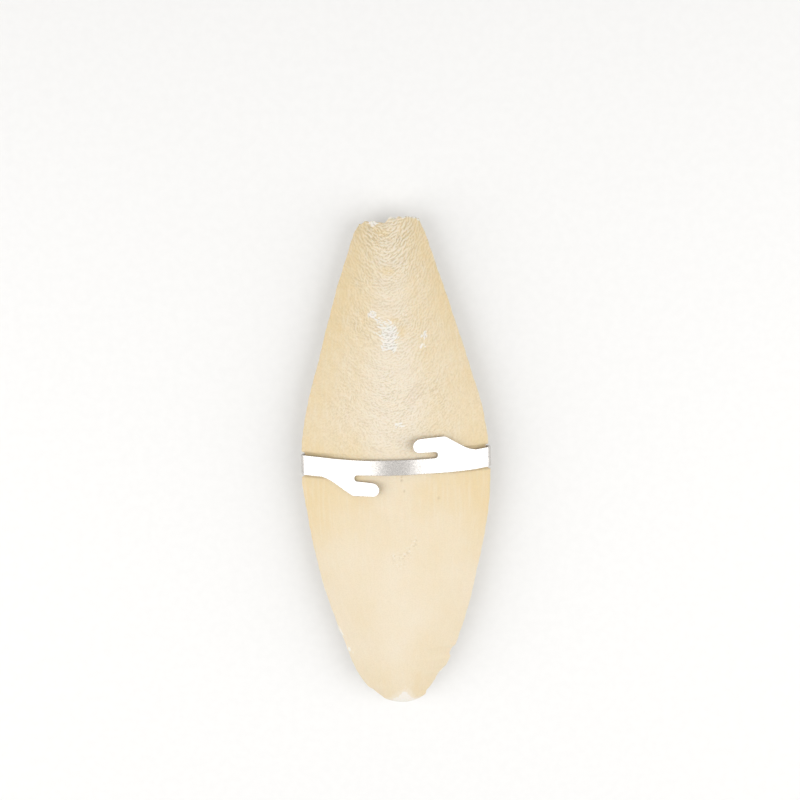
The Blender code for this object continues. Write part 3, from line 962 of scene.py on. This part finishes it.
# The clip's form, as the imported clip's, in millimetres
clip = {
    "sheet": 0.6,
    "y": 1.0,
    "x": 0.3,
    "gap": 0.55,
    "strapEndHalf": 4.0,
    "strap": ((-31.0, 4.0), (-12.0, 3.2), (0.0, 3.1)),         # x and half width
    "slotEnd": 15.4,
    "slotLow": 2.8,         # edges of the slot at its closed end
    "slotHigh": 5.2,
    "slotMouthHigh": 5.6,
    "fingerTip": 6.9,
    "fingerTop": 11.2,
    "hookCorner": 18.9,
    "hookBack": ((27.5, 5.8), (29.4, 4.8), (31.8, 4.0)),       # from its shoulder to its foot
    "frontHookNearer": 2.2,     # the front hook's back lies this much closer to the middle
    "fingerLift": 2.4,
    "bendStart": 36.6,
    "bendRadius": 2.39,
    "bendEnd": -160,        # degrees
    "tab": 4.4,
    "sheetCorner": 1.2,
    "hookCornerRadius": 2.6,
    "strapBow": 0.9,
    "skew": 0.0205,         # how much further back its right end lies, by slope
    "edgeRound": 0.13,      # sheared edges, worn round
    "arcSteps": 12,
    "stripLength": 0.8,
    "bendSteps": 26,
}


def arc(centre, radius, start, end, parts=1):
    steps = parts * clip["arcSteps"]
    turns = [math.radians(start + (end - start) * i / steps) for i in range(steps + 1)]
    return [(centre[0] + radius * math.cos(t), centre[1] + radius * math.sin(t)) for t in turns]


def strapHeight(x):
    share = clip["y"] / bone["length"] + 0.5
    table = np.array(bone["outline"])
    width = float(curveThrough(np.sqrt(table[:, 0]), table[:, 2], np.sqrt(np.array(share))))
    return float(dome(min(abs(x) / width, 1.0), share)) + bone["medianRib"][0] + clip["gap"]


def strapSlope(x):
    return math.atan2(strapHeight(x + 0.01) - strapHeight(x - 0.01), 0.02)


def bendTurn():
    return abs(math.radians(clip["bendEnd"]) - strapSlope(clip["bendStart"]))


def strapEnd():
    return clip["bendStart"] + clip["bendRadius"] * bendTurn() + clip["tab"]


def clipEdge(nearer):
    # Rear edge of the flat pattern from left to right, with the hook's back nearer to the middle
    end = strapEnd()
    corner = clip["sheetCorner"]
    slotRadius = (clip["slotHigh"] - clip["slotLow"]) / 2
    tipRadius = (clip["fingerTop"] - clip["slotMouthHigh"]) / 2
    slotMiddle = (clip["slotHigh"] + clip["slotLow"]) / 2
    fingerMiddle = (clip["fingerTop"] + clip["slotMouthHigh"]) / 2
    shoulderX, shoulderY = clip["hookBack"][0]
    fall = math.atan2(clip["fingerTop"] - shoulderY, shoulderX - clip["hookCorner"])
    hookRadius = clip["hookCornerRadius"]
    edge = arc((-end + corner, clip["strapEndHalf"] - corner), corner, 180, 90)
    edge += clip["strap"]
    edge += arc((clip["slotEnd"], slotMiddle), slotRadius, -90, 90)
    edge += arc((clip["fingerTip"] + tipRadius, fingerMiddle), tipRadius, 270, 90, 2)
    hookMiddle = (clip["hookCorner"] - nearer, clip["fingerTop"] - hookRadius)
    edge += arc(hookMiddle, hookRadius, 90, 90 - math.degrees(fall))
    edge += [(x - nearer, y) for x, y in clip["hookBack"]]
    edge += arc((end - corner, clip["strapEndHalf"] - corner), corner, 90, 0)
    return edge


def strapPlace(along, depth):
    side = math.copysign(1.0, along)
    length = abs(along)
    bent = max(length - clip["bendStart"], 0.0)
    heading = strapSlope(min(length, clip["bendStart"]))
    x = min(length, clip["bendStart"])
    z = strapHeight(x)
    if bent:
        start = heading
        turned = min(bent / clip["bendRadius"], bendTurn())
        straight = max(bent - clip["bendRadius"] * bendTurn(), 0.0)
        heading = start - turned
        x += clip["bendRadius"] * (math.sin(start) - math.sin(heading)) + straight * math.cos(heading)
        z += straight * math.sin(heading) - clip["bendRadius"] * (math.cos(start) - math.cos(heading))
    return side * (x - depth * math.sin(heading)), z + depth * math.cos(heading)


def bendPattern(x, y, depth):
    across, height = strapPlace(x, depth)
    lift = 0.0
    if abs(y) > (clip["slotLow"] + clip["slotHigh"]) / 2 and x * y > 0 and abs(x) < clip["slotEnd"]:
        share = (clip["slotEnd"] - abs(x)) / (clip["slotEnd"] - clip["fingerTip"])
        lift = clip["fingerLift"] * share**1.5
    bow = clip["strapBow"] * min(abs(x) / clip["bendStart"], 1.0) ** 2
    return clip["x"] + across, clip["y"] + y + bow + clip["skew"] * across, height + lift


def cutAt(mesh, place, across):
    geometry = mesh.verts[:] + mesh.edges[:] + mesh.faces[:]
    bmesh.ops.bisect_plane(mesh, geom=geometry, dist=1e-5, plane_co=place, plane_no=across)


def broadNormals(data):
    # Each point takes the mean normal of its faces by area, so flats stay flat beside small rounds
    total = np.zeros((len(data.vertices), 3))
    for face in data.polygons:
        total[list(face.vertices)] += np.array(face.normal) * face.area
    total /= np.maximum(np.linalg.norm(total, axis=1, keepdims=True), 1e-12)
    data.normals_split_custom_set_from_vertices(total.tolist())


def inOrder(parts, place):
    # By place, because a bevel gives its parts in another order each run
    for index, item in enumerate(sorted(parts, key=lambda item: tuple(place(item)))):
        item.index = index
    parts.sort()


def makeClip():
    mesh = bmesh.new()
    outline = clipEdge(0.0) + [(-x, -y) for x, y in clipEdge(clip["frontHookNearer"])]
    face = mesh.faces.new([mesh.verts.new((x, y, 0.0)) for x, y in outline])
    raised = bmesh.ops.extrude_face_region(mesh, geom=[face], use_keep_orig=True)
    upper = [item for item in raised["geom"] if isinstance(item, bmesh.types.BMVert)]
    bmesh.ops.translate(mesh, verts=upper, vec=(0.0, 0.0, clip["sheet"]))
    bmesh.ops.recalc_face_normals(mesh, faces=mesh.faces[:])
    rims = [e for e in mesh.edges if abs(e.verts[0].co.z - e.verts[1].co.z) < 1e-6]
    bmesh.ops.bevel(mesh, geom=rims, offset=clip["edgeRound"], segments=3, profile=0.5, affect="EDGES")
    cuts = list(np.arange(clip["stripLength"], clip["bendStart"], clip["stripLength"]))
    bendLength = strapEnd() - clip["tab"] - clip["bendStart"]
    cuts += [clip["bendStart"] + bendLength * i / clip["bendSteps"] for i in range(clip["bendSteps"] + 1)]
    for place in [0.0] + cuts + [-cut for cut in cuts]:
        cutAt(mesh, (float(place), 0, 0), (1, 0, 0))
    top = clip["fingerTop"]
    for place in np.arange(clip["stripLength"] - top, top, clip["stripLength"]):
        cutAt(mesh, (0, float(place), 0), (0, 1, 0))
    bmesh.ops.triangulate(mesh, faces=[f for f in mesh.faces if len(f.verts) > 4])
    inOrder(mesh.verts, lambda vertex: vertex.co)
    inOrder(mesh.edges, lambda edge: edge.verts[0].co + edge.verts[1].co)
    inOrder(mesh.faces, lambda face: face.calc_center_median())
    half = clip["sheet"] / 2
    cut = [1 - min(abs(abs(v.co.z - half) - half) / 1e-4, 1) for v in mesh.verts]
    for vertex in mesh.verts:
        vertex.co = Vector(bendPattern(*vertex.co)) * mm
    data = bpy.data.meshes.new("clipFine")
    mesh.to_mesh(data)
    mesh.free()
    data.shade_smooth()
    broadNormals(data)
    store(data, "cutEdge", [1 - c for c in cut])
    made = added("cageClip", data)
    data.materials.append(clipFinish())
    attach(made, "root")
    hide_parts("clip")
    print("clip:", len(data.polygons), "faces")


# Finish of the clip, in the bone's units
clipLook = {
    "steel": (0.73, 0.703, 0.674),
    "dull": (0.50, 0.48, 0.46),
    "edge": (0.62, 0.60, 0.58),
    "wornShare": 0.75,
    "brushScale": 5200,
    "brushDepth": 0.00002,
    "speckScale": 2400,
    "speckDepth": 0.00003,
    "spangleScale": 420,
    "roughness": (0.240, 0.275),
    "spangleRoughness": 0.05,
}


def clipFinish():
    made, tree, shader = newMaterial("zincedSteel")
    shader.inputs["Metallic"].default_value = 1.0
    plain = objectPlace(tree)
    brushed = lumps(tree, objectPlace(tree, (0.06, 1, 1)), clipLook["brushScale"])
    specks, speckHeight = grain(tree, plain, clipLook["speckScale"], 0.44, 0.58)
    spangle = lumps(tree, plain, clipLook["spangleScale"], 2)
    worn = times(tree, specks, clipLook["wornShare"])
    colour = blendColours(tree, worn, clipLook["steel"], clipLook["dull"])
    colour = blendColours(tree, stretch(tree, spangle, 0.35, 0.65, 0.0, 0.25), colour, clipLook["dull"])
    colour = blendColours(tree, masked(tree, "cutEdge"), colour, clipLook["edge"])
    rough = stretch(tree, specks, 0.0, 1.0, *clipLook["roughness"])
    rough = plus(tree, rough, times(tree, spangle, clipLook["spangleRoughness"]))
    fine = bumped(tree, speckHeight, 0.16, clipLook["speckDepth"])
    finished(tree, shader, colour, rough, bumped(tree, brushed, 0.04, clipLook["brushDepth"], fine))
    return made


makeClip()

# Studio: a pale floor, two wide soft panels with a gap for the camera, a dim strip and a light room
studio = {
    "floorSize": 8.0,       # metres, as all below
    "floorColour": (0.86, 0.86, 0.855),
    "panelSize": (0.6, 1.16),
    "panelX": 0.587,
    "panelY": -0.10,
    "panelZ": 0.58,
    "panelPower": 4.08,
    "stripSize": (0.07, 0.9),
    "stripZ": 1.0,
    "stripPower": 0.03,
    "room": (1.0, 0.985, 0.965),
    "roomLight": 0.56,
}


def floorFinish():
    made, tree, shader = newMaterial("paleFloor")
    specks, height = grain(tree, objectPlace(tree), 300, 0.3, 0.7)
    low = tuple(c * 0.985 for c in studio["floorColour"])
    colour = blendColours(tree, specks, studio["floorColour"], low)
    rough = stretch(tree, specks, 0.0, 1.0, 0.75, 0.85)
    finished(tree, shader, colour, rough, bumped(tree, height, 0.1, 0.0001))
    return made


def makeStudio():
    bpy.ops.mesh.primitive_plane_add(size=studio["floorSize"], location=(0, 0, -0.0002))
    floor = bpy.context.object
    floor.name = "floor"
    floor.data.materials.append(floorFinish())
    aim = Vector((0, 0, 0.01))
    lights = [(side * studio["panelX"], studio["panelY"], studio["panelZ"]) for side in (-1, 1)]
    for place in lights + [(0.0, studio["panelY"], studio["stripZ"])]:
        overhead = place[0] == 0.0
        data = bpy.data.lights.new("softPanel", "AREA")
        data.shape = "RECTANGLE"
        data.size, data.size_y = studio["stripSize"] if overhead else studio["panelSize"]
        data.energy = studio["stripPower"] if overhead else studio["panelPower"]
        panel = added("softPanel", data)
        panel.location = place
        panel.rotation_euler = (aim - panel.location).to_track_quat("-Z", "Y").to_euler()
    world = bpy.data.worlds.new("lightRoom")
    world.use_nodes = True
    sky = world.node_tree.nodes["Background"]
    sky.inputs["Color"].default_value = (*studio["room"], 1.0)
    sky.inputs["Strength"].default_value = studio["roomLight"]
    bpy.context.scene.world = world
    bpy.context.scene.view_settings.view_transform = "Standard"


makeStudio()
print("studio ready")
